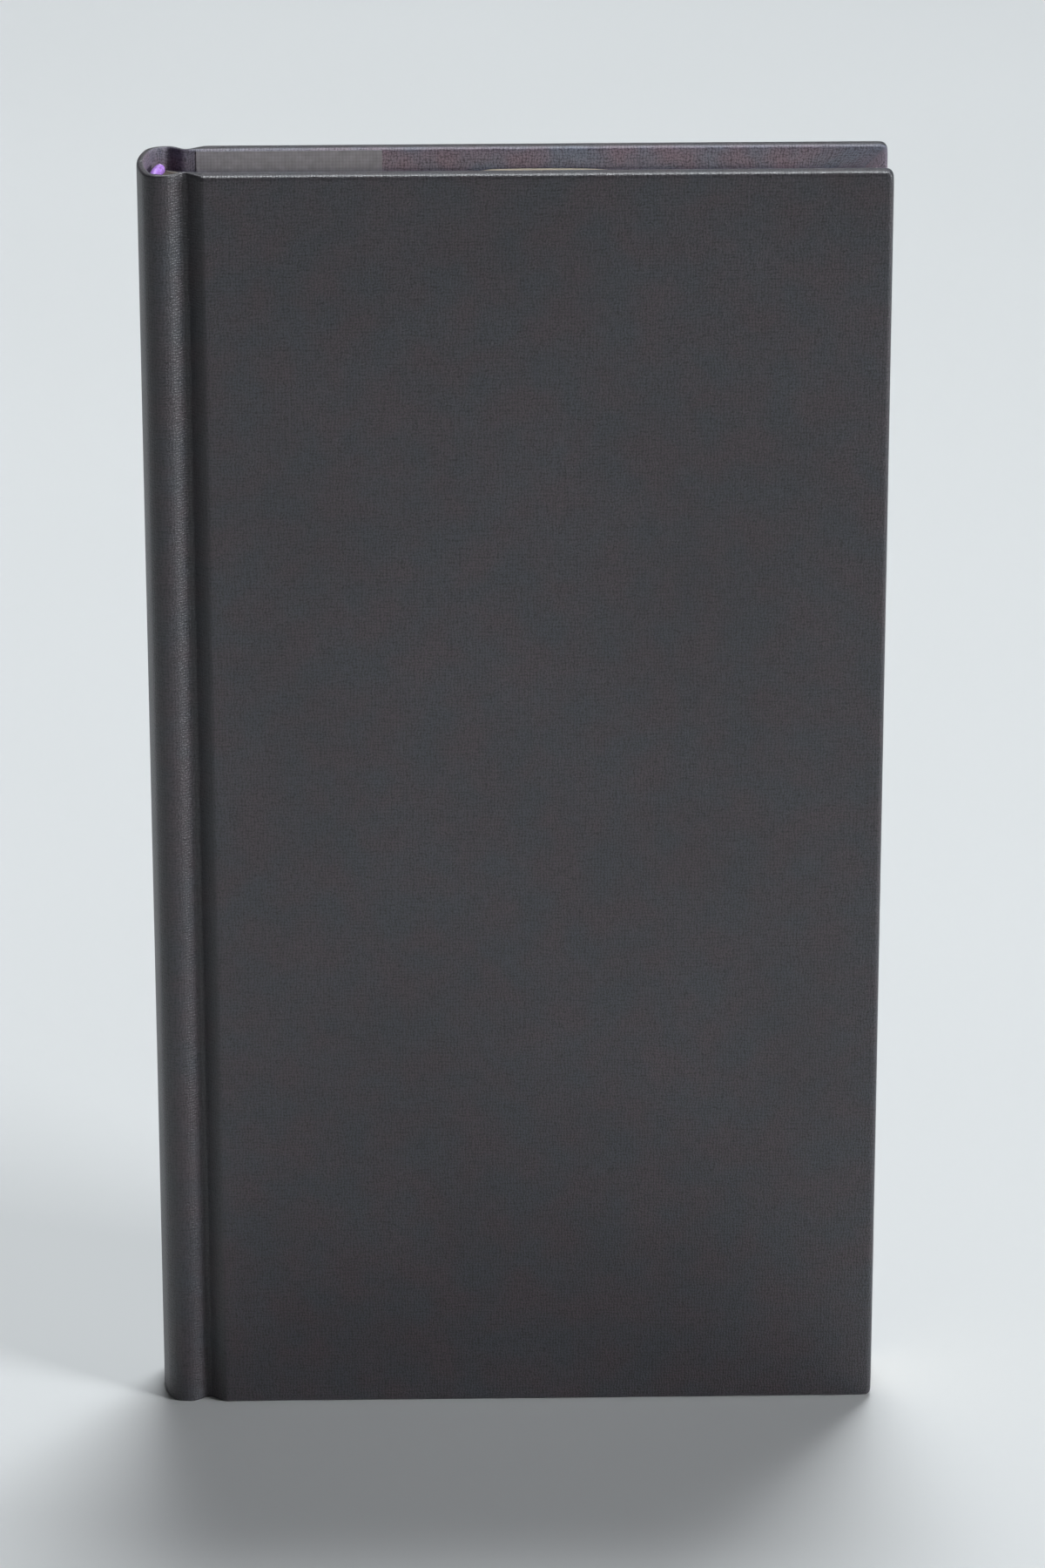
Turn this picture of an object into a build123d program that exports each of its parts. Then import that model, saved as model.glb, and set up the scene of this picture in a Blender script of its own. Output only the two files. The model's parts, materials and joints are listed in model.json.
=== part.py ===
from build123d import *
import os
from math import asin, atan2, cos, degrees, hypot, radians, sin, sqrt

# A casebound book with a rounded spine, standing on its tail. Millimetres, +Z towards the head,
# -X the spine, -Y the front cover. The origin is the middle of the closed book's foot.
# Sections are drawn from the crown of the spine: x runs to the fore-edge and y from the middle
# of the page block outwards, for the back cover, and are mirrored for the front cover.

# --- The whole book ---
book_height = 200.0
book_width = 111.0
page_block_thickness = 9.6

# --- Sheet stock ---
cloth = 0.3
board = 2.3
spine_card = 0.6
endpaper = 0.2
joint_cloth = 0.2
gauze = 0.15
lining_paper = 0.15

# --- How far the covers stand past the pages, and the cloth folded over their edges ---
square = 3.4
turn_in = 15.0
spine_turn_in = 12.0
pastedown_margin = 3.8
joint_cloth_width = 27.0
joint_cloth_margin = 0.8

# --- Rounding of the boards ---
board_outer_round = 0.9
board_inner_round = 0.5
board_corner_round = 1.0

# --- The case's spine and joints, on the outside of the cloth ---
crown_radius = 18.0
shoulder_radius = 3.0
ridge_drop = 0.55
ridge_width = 0.1
flank_radius = 3.0
groove_radius = 0.9
groove_depth = 2.15
groove_from_ridge = 3.3
board_from_groove = 1.95
spine_card_reach = 50.0

# --- The backed page block ---
hollow = 0.6
back_radius = 13.0
shoulder_rise = 1.7
shoulder_hollow_radius = 4.0
gauze_inset = 12.0
lining_inset = 1.0
lining_reach = 24.0

# --- Head and tail bands ---
bead_radius = 0.8
bead_reach = 20.0
band_tape_height = 8.0
tape = 0.15

# --- Clearances ---
cover_gap = 0.15
split_gap = 0.3
swing_gap = 0.3
layer_gap = 0.02

# --- Sections worked out from the values above ---
cover_thickness = cloth + board + cloth
half_block = page_block_thickness / 2
inner_face = half_block + endpaper + cover_gap + endpaper
outer_face = inner_face + cover_thickness
half_width = book_width / 2

ridge_y = outer_face - ridge_drop
shoulder_y = ridge_y - shoulder_radius
shoulder_x = crown_radius - sqrt((crown_radius - shoulder_radius) ** 2 - shoulder_y**2)
crown_angle = degrees(asin(shoulder_y / (crown_radius - shoulder_radius)))
ridge_end_x = shoulder_x + ridge_width
groove_x = ridge_end_x + groove_from_ridge
groove_y = outer_face - groove_depth

# The flank's rounding has to leave some straight flank before the groove's hollow.
flank_drop = ridge_y - groove_y - groove_radius
flank_limit = (groove_from_ridge**2 + flank_drop**2 - groove_radius**2) / (2 * (flank_drop + groove_radius))
flank_round = min(flank_radius, 0.95 * flank_limit)

crown_centre = Vector(crown_radius, 0)
shoulder_centre = Vector(shoulder_x, shoulder_y)
flank_centre = Vector(ridge_end_x, ridge_y - flank_round)
groove_centre = Vector(groove_x, groove_y + groove_radius)
flank_to_groove = groove_centre - flank_centre
flank_slope = degrees(
    asin((flank_round + groove_radius) / hypot(flank_to_groove.X, flank_to_groove.Y))
    - atan2(flank_to_groove.Y, flank_to_groove.X)
)

wrap_x = groove_x + board_from_groove
board_x = wrap_x + cloth
fore_edge_x = book_width
hinge_x = groove_x
hinge_y = (outer_face + ridge_y + swing_gap) / 2

tape_layer = max(gauze, tape)
block_crown = cloth + spine_card + cloth + hollow + lining_paper + tape_layer
back_centre_x = block_crown + back_radius
crest_y = half_block + shoulder_rise
crest_angle = degrees(asin(crest_y / back_radius))
crest_x = back_centre_x - back_radius * cos(radians(crest_angle))
hollow_centre_y = half_block + shoulder_hollow_radius
hollow_angle = degrees(asin(1 - shoulder_rise / shoulder_hollow_radius))
hollow_centre_x = crest_x + shoulder_hollow_radius * cos(radians(hollow_angle))
page_fore_x = fore_edge_x - square
block_bottom = square
block_top = book_height - square
fore_hollow = back_radius - sqrt(back_radius**2 - half_block**2)


def polar(centre, radius, angle):
    """Point at an angle in degrees on a circle."""
    return centre + Vector(radius * cos(radians(angle)), radius * sin(radians(angle)))


def arc(centre, radius, start, end):
    """Arc about a centre from one angle in degrees to another."""
    return ThreePointArc(
        polar(centre, radius, start),
        polar(centre, radius, (start + end) / 2),
        polar(centre, radius, end),
    )


def joined(edges):
    """Edges in order, with a straight line wherever one ends away from where the next starts."""
    chain = []
    for edge in edges:
        if chain and ((chain[-1] @ 1) - (edge @ 0)).length > 1e-6:
            chain.append(Line(chain[-1] @ 1, edge @ 0))
        chain.append(edge)
    return chain


def region(edges):
    """Face inside a ring of edges."""
    ring = joined(edges)
    ring.append(Line(ring[-1] @ 1, ring[0] @ 0))
    return make_face(Wire(ring))


def between(near, far):
    """Face between two open lines of edges that run the same way."""
    first = joined(near)
    second = joined(far)
    ring = [*first, Line(first[-1] @ 1, second[-1] @ 1), *second, Line(first[0] @ 0, second[0] @ 0)]
    return make_face(Wire(ring))


def upright(face, bottom, top):
    """Prism of a section from one height to another, moved from the crown to the book's frame."""
    return Pos(-half_width, 0, bottom) * extrude(face, top - bottom, dir=(0, 0, 1))


def block(x0, x1, y0, y1, z0, z1):
    """Rectangular solid between two corners of the section frame."""
    centre = (x0 + x1 - book_width, y0 + y1, z0 + z1)
    return Pos(*(value / 2 for value in centre)) * Box(x1 - x0, y1 - y0, z1 - z0)


def both_halves(half):
    """A half section's solid joined to its mirror image."""
    return half + mirror(half, about=Plane.XZ)


def back_and_front(name, solid):
    """The back cover's piece and its mirror image for the front, by node name."""
    return {f"back_{name}": solid, f"front_{name}": mirror(solid, about=Plane.XZ)}


# --- The case's spine ---
def case_line(depth):
    """Half of the spine and its joint, at a depth below the outside of the cloth."""
    split = degrees(asin(split_gap / 2 / groove_radius))
    return [
        arc(crown_centre, crown_radius - depth, 180, 180 - crown_angle),
        arc(shoulder_centre, shoulder_radius - depth, 180 - crown_angle, 90),
        arc(flank_centre, flank_round - depth, 90, 90 - flank_slope),
        arc(groove_centre, groove_radius + depth, 270 - flank_slope, 270 - split),
    ]


def card_line(depth, spare=0.0):
    """Half of the spine only as far round its shoulder as the card reaches."""
    spare_angle = degrees(spare / shoulder_radius)
    stop = 180 - crown_angle - spine_card_reach - spare_angle
    return [
        arc(crown_centre, crown_radius - depth, 180, 180 - crown_angle),
        arc(shoulder_centre, shoulder_radius - depth, 180 - crown_angle, stop),
    ]


def spine_inlay():
    """Card that stiffens the spine, as tall as the boards, inside the cloth."""
    section = between(card_line(cloth), card_line(cloth + spine_card))
    return both_halves(upright(section, cloth, book_height - cloth))


def spine_cloth(inlay):
    """Cloth over the spine and down into both joints, folded over the card at head and tail."""
    skin = upright(between(case_line(0), case_line(cloth)), 0, book_height)
    doubled = between(case_line(0), case_line(2 * cloth))
    pocket_depth = cloth + spine_card + cloth
    pocket = between(card_line(cloth, spare=cloth), card_line(pocket_depth, spare=cloth))
    half = skin
    for bottom, top in ((0, spine_turn_in), (book_height - spine_turn_in, book_height)):
        half += upright(doubled, bottom, top)
        half += upright(pocket, bottom, top)
    return both_halves(half) - inlay


# --- The covers ---
def rounded_slab(x0, x1, y0, y1, z0, z1, corner, outer, inner):
    """Slab with rounded corners, and its outer and inner faces' edges rounded in turn."""
    slab = block(x0, x1, y0, y1, z0, z1)
    slab = fillet(slab.edges().filter_by(Axis.Y), corner)
    slab = fillet(slab.faces().sort_by(Axis.Y)[-1].edges(), outer)
    return fillet(slab.faces().sort_by(Axis.Y)[0].edges(), inner)


def cover_board():
    """Millboard of the back cover."""
    return rounded_slab(
        board_x, fore_edge_x - cloth,
        inner_face + cloth, outer_face - cloth,
        cloth, book_height - cloth,
        board_corner_round, board_outer_round, board_inner_round,
    )  # fmt: skip


def turn_in_window():
    """Space inside the cover that the folded edges of the cloth leave bare."""
    return block(
        wrap_x - cloth, fore_edge_x - turn_in,
        inner_face - cloth, inner_face + cloth,
        turn_in, book_height - turn_in,
    )  # fmt: skip


def cover_cloth(millboard):
    """Cloth round the board, folded in at three edges, with a tongue down to the joint."""
    wrap = rounded_slab(
        wrap_x, fore_edge_x,
        inner_face, outer_face,
        0, book_height,
        board_corner_round + cloth, board_outer_round + cloth, board_inner_round + cloth,
    )  # fmt: skip
    tongue = block(
        groove_x + split_gap / 2, board_x, groove_y - cloth, groove_y, 0, book_height
    )
    return wrap + tongue - millboard - turn_in_window()


def pasted_sheet(x0, x1, z0, z1, thickness):
    """Sheet pasted inside the cover, that steps down from the folded cloth onto the board."""
    window_x1 = fore_edge_x - turn_in
    sheet = block(x0, x1, inner_face - thickness, inner_face, z0, z1)
    inside_x1 = min(x1, window_x1)
    sunk = block(
        x0, inside_x1,
        inner_face - thickness, inner_face + cloth,
        turn_in, book_height - turn_in,
    )  # fmt: skip
    dish_x1 = inside_x1 if inside_x1 < window_x1 else window_x1 - thickness
    dish = block(
        x0, dish_x1,
        inner_face - thickness, inner_face + cloth - thickness,
        turn_in + thickness, book_height - turn_in - thickness,
    )  # fmt: skip
    return sheet + sunk - dish


def joint_strip():
    """Strip of thin cloth pasted down the inside of the cover beside the joint."""
    return pasted_sheet(
        wrap_x + joint_cloth_margin,
        wrap_x + joint_cloth_width,
        joint_cloth_margin,
        book_height - joint_cloth_margin,
        joint_cloth,
    )


def pastedown():
    """Endpaper pasted over the rest of the inside of the cover."""
    return pasted_sheet(
        wrap_x + joint_cloth_width + layer_gap,
        fore_edge_x - pastedown_margin,
        pastedown_margin,
        book_height - pastedown_margin,
        endpaper,
    )


# --- The pages ---
def page_side(lift):
    """Side of the page block from the crest of its shoulder to its fore-edge."""
    hollow_centre = Vector(hollow_centre_x, hollow_centre_y)
    crest = 180 + hollow_angle
    return [
        arc(hollow_centre, shoulder_hollow_radius - lift, crest, 270),
        Line((hollow_centre_x, half_block + lift), (page_fore_x, half_block + lift)),
    ]


def text_block():
    """All the leaves as one solid, with a rounded back, shoulders and a hollow fore-edge."""
    back_centre = Vector(back_centre_x, 0)
    back = arc(back_centre, back_radius, 180, 180 - crest_angle)
    fore_centre = Vector(page_fore_x - fore_hollow + back_radius, 0)
    fore_angle = degrees(asin(half_block / back_radius))
    fore_edge = arc(fore_centre, back_radius, 180 - fore_angle, 180)
    half = region([back, *page_side(0), fore_edge])
    return both_halves(upright(half, block_bottom, block_top))


def flyleaf():
    """Free half of the back endpaper, lying on the last page up to the shoulder's crest."""
    return upright(between(page_side(0), page_side(endpaper)), block_bottom, block_top)


def back_layer(depth, thickness, reach, bottom, top):
    """Layer glued round the back of the page block, at a depth out from the folds."""
    centre = Vector(back_centre_x, 0)
    near = arc(centre, back_radius + depth, 180 - reach, 180 + reach)
    far = arc(centre, back_radius + depth + thickness, 180 - reach, 180 + reach)
    return upright(between([near], [far]), bottom, top)


def end_band():
    """Headband: a beaded edge on the end of the block, and its tape down the back."""
    bead_centre = Vector(back_radius + tape_layer + lining_paper - bead_radius, 0, bead_radius)
    bead = Plane.XZ * Pos(-bead_centre.X, bead_centre.Z) * Circle(bead_radius)
    tape_x = -back_radius - tape / 2
    tape_z = (bead_radius - band_tape_height) / 2
    strip = Plane.XZ * Pos(tape_x, tape_z) * Rectangle(tape, bead_radius + band_tape_height)
    profile = Rot(0, 0, -bead_reach) * (bead + strip)
    band = revolve(profile, axis=Axis.Z, revolution_arc=2 * bead_reach)
    return Pos(back_centre_x - half_width, 0, block_top) * band


def tail_copy(solid):
    """The same piece turned over to the tail."""
    middle = Plane.XY.offset(book_height / 2)
    return mirror(solid, about=middle)


# --- The book ---
def make_book():
    """Every piece of the book by node name."""
    inlay = spine_inlay()
    millboard = cover_board()
    head_band = end_band()
    pieces = {
        "text_block": text_block(),
        "spine_gauze": back_layer(
            0, gauze, crest_angle, block_bottom + gauze_inset, block_top - gauze_inset
        ),
        "spine_lining": back_layer(
            tape_layer, lining_paper, lining_reach, block_bottom + lining_inset, block_top - lining_inset
        ),
        "head_band": head_band,
        "tail_band": tail_copy(head_band),
        "spine_inlay": inlay,
        "spine_cloth": spine_cloth(inlay),
    }
    pieces |= back_and_front("flyleaf", flyleaf())
    pieces |= back_and_front("board", millboard)
    pieces |= back_and_front("cover_cloth", cover_cloth(millboard))
    pieces |= back_and_front("joint_strip", joint_strip())
    pieces |= back_and_front("pastedown", pastedown())
    return pieces


os.makedirs("parts", exist_ok=True)
for node, solid in make_book().items():
    export_step(solid, f"parts/{node}.step")
print("cover hinges at x", hinge_x - half_width, "and y plus or minus", hinge_y)
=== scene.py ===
"""A plain cloth-bound hardback book standing on its tail: finishes, cloth and studio."""

import json
import logging
import math
from collections.abc import Callable
from dataclasses import dataclass, field
from enum import Enum

import bmesh
import bpy
from mathutils import Matrix, Vector, noise


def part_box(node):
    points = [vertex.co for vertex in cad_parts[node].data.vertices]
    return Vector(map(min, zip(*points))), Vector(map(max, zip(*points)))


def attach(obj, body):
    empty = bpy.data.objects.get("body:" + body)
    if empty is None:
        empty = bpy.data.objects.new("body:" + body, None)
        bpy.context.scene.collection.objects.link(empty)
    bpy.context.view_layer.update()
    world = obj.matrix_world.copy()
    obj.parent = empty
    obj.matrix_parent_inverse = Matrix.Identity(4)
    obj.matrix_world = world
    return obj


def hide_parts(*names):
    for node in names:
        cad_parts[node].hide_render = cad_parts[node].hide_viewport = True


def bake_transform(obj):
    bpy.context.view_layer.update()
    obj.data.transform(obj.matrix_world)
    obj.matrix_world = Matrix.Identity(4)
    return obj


Socket = bpy.types.NodeSocket
Triple = tuple[float, float, float]
Section = list[tuple[Vector, Vector]]

MM = 0.001
WHITE = (1.0, 1.0, 1.0)
BLACK = (0.0, 0.0, 0.0)
MERGE = 0.002 * MM
CORNER_TANGENT = math.tan(math.radians(22.5))
LOG = logging.getLogger("book")


class Side(Enum):
    """Which half of the case a piece belongs to."""

    FRONT = -1
    BACK = 1

    @property
    def word(self) -> str:
        """The side's name as the nodes spell it."""
        return self.name.lower()

    @property
    def body(self) -> str:
        """The moving body that this side's cover is."""
        return f"{self.word}_cover"


# --- Node graphs ---
class Graph:
    """A material's node tree, with short ways to add and join nodes."""

    def __init__(self, name: str) -> None:
        """Starts a material with only a Principled shader and its output.

        Args:
            name: The material's name.
        """
        self.material = bpy.data.materials.new(name)
        self.material.use_nodes = True
        self.tree = self.material.node_tree
        self.shader = self.tree.nodes["Principled BSDF"]

    def add(self, kind: str, inputs: dict | None = None, **settings: object) -> bpy.types.Node:
        """Adds one node.

        Args:
            kind: Blender's name for the node type.
            inputs: Socket name or index to a value or another node's socket.
            **settings: Properties of the node itself.

        Returns:
            The new node.
        """
        node = self.tree.nodes.new(kind)
        for key, value in settings.items():
            setattr(node, key, value)
        for key, value in (inputs or {}).items():
            self.feed(node.inputs[key], value)
        return node

    def feed(self, socket: Socket, value: object) -> None:
        """Links a socket to another, or sets its value.

        Args:
            socket: The input to fill.
            value: An output socket, or a plain value.
        """
        if isinstance(value, Socket):
            self.tree.links.new(value, socket)
        else:
            socket.default_value = value

    def math(self, operation: str, first: object, second: object = 0.0) -> Socket:
        """Result of a Math node.

        Args:
            operation: The Math node's operation.
            first: Its first value or socket.
            second: Its second value or socket.

        Returns:
            The node's output socket.
        """
        node = self.add("ShaderNodeMath", {0: first, 1: second}, operation=operation)
        return node.outputs[0]

    def noise(self, vector: object, scale: float, detail: float = 2.0, rough: float = 0.5) -> Socket:
        """Factor of a Noise Texture.

        Args:
            vector: Coordinates to read.
            scale: Features to the metre.
            detail: Octaves.
            rough: Strength of the finer octaves.

        Returns:
            The factor socket, from 0 to 1.
        """
        inputs = {"Vector": vector, "Scale": scale, "Detail": detail, "Roughness": rough}
        return self.add("ShaderNodeTexNoise", inputs).outputs["Fac"]

    def stretched(self, vector: object, scale: Triple) -> Socket:
        """Coordinates scaled apart along each axis.

        Args:
            vector: Coordinates to read.
            scale: Factor for each axis.

        Returns:
            The stretched coordinates.
        """
        return self.add("ShaderNodeMapping", {"Vector": vector, "Scale": scale}).outputs[0]

    def ramp(self, factor: object, stops: list[tuple[float, Triple]]) -> Socket:
        """Colour ramp.

        Args:
            factor: Position along the ramp.
            stops: Each stop's position and linear colour.

        Returns:
            The colour socket.
        """
        node = self.add("ShaderNodeValToRGB", {"Fac": factor})
        elements = node.color_ramp.elements
        while len(elements) < len(stops):
            elements.new(0.5)
        for element, (position, colour) in zip(elements, stops):
            element.position = position
            element.color = (*colour, 1.0)
        return node.outputs[0]

    def mix(self, blend: str, factor: object, first: object, second: object) -> Socket:
        """Two colours mixed.

        Args:
            blend: Blend mode.
            factor: Share of the second colour.
            first: The colour beneath.
            second: The colour laid over it.

        Returns:
            The colour socket.
        """
        node = self.add("ShaderNodeMix", {"Factor": factor}, data_type="RGBA", blend_type=blend)
        self.feed(node.inputs[6], first)
        self.feed(node.inputs[7], second)
        return node.outputs[2]

    def bump(self, height: object, strength: float, depth: float, normal: object = None) -> Socket:
        """Bump from a height.

        Args:
            height: Height from 0 to 1.
            strength: Share of the effect.
            depth: Metres that a height of 1 stands up.
            normal: A bump beneath this one.

        Returns:
            The bumped normal.
        """
        inputs = {"Height": height, "Strength": strength, "Distance": depth}
        if normal is not None:
            inputs["Normal"] = normal
        return self.add("ShaderNodeBump", inputs).outputs[0]

    def finish(self, **values: object) -> bpy.types.Material:
        """Sets the shader's sockets.

        Args:
            **values: Socket names, with underscores for spaces, and their values.

        Returns:
            The finished material.
        """
        for key, value in values.items():
            self.feed(self.shader.inputs[key.replace("_", " ")], value)
        return self.material


# --- Finishes ---
@dataclass(frozen=True)
class BookCloth:
    """Fine plain-weave book cloth, its threads following the sheet's own length and height."""

    name: str = "book_cloth"
    dark: Triple = (0.0055, 0.0050, 0.0058)
    light: Triple = (0.042, 0.039, 0.044)
    fleck: Triple = (0.20, 0.20, 0.21)
    pitch: float = 0.46 * MM
    jitter: float = 9.0
    thread_height: float = 0.07 * MM
    gloss: float = 0.74
    sheen: float = 0.12
    sheen_tint: Triple = (0.86, 0.88, 0.95)
    roughness: float = 0.43
    wander_scales: tuple[float, float] = (610.0, 740.0)
    slub_scale: float = 2300.0
    slub_stretch: float = 0.16
    grain_scale: float = 2600.0
    cloud_scale: float = 26.0
    dye_scale: float = 150.0
    dye_share: float = 0.9
    dust_scale: float = 1500.0
    dust_share: float = 0.35

    def material(self) -> bpy.types.Material:
        """Weave, slubs, warm and cool clouds and a few pale flecks.

        Returns:
            The cloth's material.
        """
        g = Graph(self.name)
        flat = g.add("ShaderNodeUVMap", uv_map="cloth").outputs[0]
        axes = g.add("ShaderNodeSeparateXYZ", {0: flat}).outputs
        turns = math.pi / self.pitch
        wander = [
            g.math("MULTIPLY", g.noise(flat, scale, 3.0, 0.6), self.jitter) for scale in self.wander_scales
        ]
        across = g.math("SINE", g.math("ADD", g.math("MULTIPLY", axes[0], turns), wander[0]))
        along = g.math("SINE", g.math("ADD", g.math("MULTIPLY", axes[1], turns), wander[1]))
        weave = self.weave(g, across, along)
        slub = self.slub(g, flat)
        tone = g.math("ADD", g.math("MULTIPLY", weave, 0.22), g.math("MULTIPLY", slub, 0.96))
        colour = g.ramp(tone, [(0.41, self.dark), (0.67, self.light)])
        cloudiness = g.noise(flat, self.cloud_scale, 4.0, 0.6)
        cloud = g.ramp(cloudiness, [(0.3, (0.84, 0.82, 0.84)), (0.75, (1.12, 1.13, 1.14))])
        colour = g.mix("MULTIPLY", 1.0, colour, cloud)
        dyeing = g.noise(flat, self.dye_scale, 2.0, 0.5)
        dye = g.ramp(dyeing, [(0.35, (1.18, 0.95, 0.97)), (0.65, (0.88, 1.02, 1.08))])
        colour = g.mix("MULTIPLY", self.dye_share, colour, dye)
        dust = g.ramp(g.noise(flat, self.dust_scale, 1.0), [(0.80, BLACK), (0.86, WHITE)])
        colour = g.mix("MIX", g.math("MULTIPLY", dust, self.dust_share), colour, (*self.fleck, 1.0))
        height = g.math("ADD", g.math("MULTIPLY", weave, 0.7), g.math("MULTIPLY", slub, 0.6))
        return g.finish(
            Base_Color=colour, Roughness=self.roughness, Specular_IOR_Level=self.gloss,
            Normal=g.bump(height, 0.6, self.thread_height), Sheen_Weight=self.sheen,
            Sheen_Roughness=0.4, Sheen_Tint=(*self.sheen_tint, 1.0),
        )  # fmt: skip

    def weave(self, g: Graph, across: Socket, along: Socket) -> Socket:
        """Height of the crossing threads.

        Args:
            g: The graph to add to.
            across: Wave over the sheet's length.
            along: Wave over the sheet's height.

        Returns:
            The height socket.
        """
        over = g.math("GREATER_THAN", g.math("MULTIPLY", across, along), 0.0)
        warp = g.math("MULTIPLY", g.math("ABSOLUTE", across), over)
        weft = g.math("MULTIPLY", g.math("ABSOLUTE", along), g.math("SUBTRACT", 1.0, over))
        knots = g.math("MULTIPLY", g.math("ABSOLUTE", across), g.math("ABSOLUTE", along))
        threads = g.math("MULTIPLY", g.math("ADD", warp, weft), 0.4)
        return g.math("ADD", threads, g.math("MULTIPLY", knots, 0.6))

    def slub(self, g: Graph, flat: Socket) -> Socket:
        """Uneven thickness of the threads.

        Args:
            g: The graph to add to.
            flat: Place on the flat cloth.

        Returns:
            The socket, from 0 to 1.
        """
        warp = g.noise(g.stretched(flat, (1.0, self.slub_stretch, 1.0)), self.slub_scale, 2.0)
        weft = g.noise(g.stretched(flat, (self.slub_stretch, 1.0, 1.0)), self.slub_scale, 2.0)
        grain = g.noise(flat, self.grain_scale, 2.0, 0.7)
        threads = g.math("MULTIPLY", g.math("ADD", warp, weft), 0.2)
        return g.math("ADD", threads, g.math("MULTIPLY", grain, 0.6))


@dataclass(frozen=True)
class PlainCloth:
    """Thin lining cloth or gauze, its threads along the upright and level axes."""

    name: str
    colour: Triple
    pitch: float = 0.5 * MM
    depth: float = 0.04 * MM
    fibre_scale: float = 900.0

    def material(self) -> bpy.types.Material:
        """A small plain weave on object coordinates.

        Returns:
            The lining's material.
        """
        g = Graph(self.name)
        place = g.add("ShaderNodeTexCoord").outputs["Object"]
        axes = g.add("ShaderNodeSeparateXYZ", {0: place}).outputs
        turns = math.pi / self.pitch
        round_book = g.math("ADD", axes[0], axes[1])
        level = g.math("ABSOLUTE", g.math("SINE", g.math("MULTIPLY", round_book, turns)))
        upright = g.math("ABSOLUTE", g.math("SINE", g.math("MULTIPLY", axes[2], turns)))
        weave = g.math("MULTIPLY", g.math("ADD", level, upright), 0.5)
        fibre = g.noise(place, self.fibre_scale, 3.0)
        tone = g.math("ADD", g.math("MULTIPLY", weave, 0.2), g.math("MULTIPLY", fibre, 0.8))
        low = tuple(0.78 * part for part in self.colour)
        high = tuple(min(1.0, 1.16 * part) for part in self.colour)
        colour = g.ramp(tone, [(0.25, low), (0.75, high)])
        return g.finish(Base_Color=colour, Roughness=0.8, Normal=g.bump(weave, 0.5, self.depth))


@dataclass(frozen=True)
class Paper:
    """Uncoated paper or board: faint clouding, fibres and tooth."""

    name: str
    colour: Triple
    tooth: float = 0.02 * MM
    clouding: float = 0.06
    cloud_scale: float = 60.0
    fibre_scale: float = 3500.0

    def material(self) -> bpy.types.Material:
        """Fibrous paper on object coordinates.

        Returns:
            The paper's material.
        """
        g = Graph(self.name)
        place = g.add("ShaderNodeTexCoord").outputs["Object"]
        cloud = g.noise(place, self.cloud_scale, 5.0, 0.6)
        fibre = g.noise(g.stretched(place, (1.0, 1.0, 0.25)), self.fibre_scale, 3.0, 0.6)
        tone = g.math("ADD", g.math("MULTIPLY", cloud, 0.6), g.math("MULTIPLY", fibre, 0.4))
        low = tuple(part * (1.0 - 2.0 * self.clouding) for part in self.colour)
        colour = g.ramp(tone, [(0.3, low), (0.7, self.colour)])
        return g.finish(Base_Color=colour, Roughness=0.85, Normal=g.bump(fibre, 0.5, self.tooth))


@dataclass(frozen=True)
class PageEdges:
    """Cut edges of the leaves: fine lines that lie across the thickness of the block."""

    name: str = "page_edges"
    colour: Triple = (0.70, 0.635, 0.52)
    gap: Triple = (0.52, 0.45, 0.34)
    leaf: float = 0.11 * MM
    gather_scale: float = 1400.0
    age_scale: float = 45.0
    aged: Triple = (0.93, 0.90, 0.84)
    # Painted shade: the edges beside the spine are darkened between these two places, darkest at the first.
    spine_shade_edge: tuple[float, float] = (-50.0 * MM, -47.0 * MM)
    painted_spine_shade: Triple = (0.10, 0.085, 0.08)
    relief: float = 0.06 * MM

    def material(self) -> bpy.types.Material:
        """Leaf lines on object coordinates, with darker gaps between some of the gatherings.

        Returns:
            The page block's material.
        """
        g = Graph(self.name)
        place = g.add("ShaderNodeTexCoord").outputs["Object"]
        leaves = g.noise(g.stretched(place, (0.012, 1.0, 0.012)), 1.0 / self.leaf, 2.0, 0.7)
        gathers = g.noise(g.stretched(place, (0.02, 1.0, 0.02)), self.gather_scale, 1.0)
        age = g.noise(place, self.age_scale, 3.0)
        tone = g.math("ADD", g.math("MULTIPLY", leaves, 0.65), g.math("MULTIPLY", gathers, 0.35))
        colour = g.ramp(tone, [(0.32, self.gap), (0.50, self.colour)])
        darkening = g.ramp(age, [(0.35, self.aged), (0.7, WHITE)])
        colour = self.shade_by_spine(g, place, g.mix("MULTIPLY", 1.0, colour, darkening))
        return g.finish(Base_Color=colour, Roughness=0.8, Normal=g.bump(tone, 0.7, self.relief))

    def shade_by_spine(self, g: Graph, place: Socket, colour: Socket) -> Socket:
        """Colour darkened beside the spine: painted shade for the shadow in which the pages' edges lie there.

        Args:
            g: The graph to add to.
            place: Object coordinates.
            colour: The colour before the painted shade.

        Returns:
            The colour socket.
        """
        inwards = g.add("ShaderNodeSeparateXYZ", {0: place}).outputs[0]
        start, end = self.spine_shade_edge
        inputs = {"Value": inwards, "From Min": start, "From Max": end}
        unshaded = g.add("ShaderNodeMapRange", inputs).outputs[0]
        # Painted shade, darkest at the spine and gone a few millimetres further out.
        darkening = g.ramp(unshaded, [(0.0, self.painted_spine_shade), (1.0, WHITE)])
        return g.mix("MULTIPLY", 1.0, colour, darkening)


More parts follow.
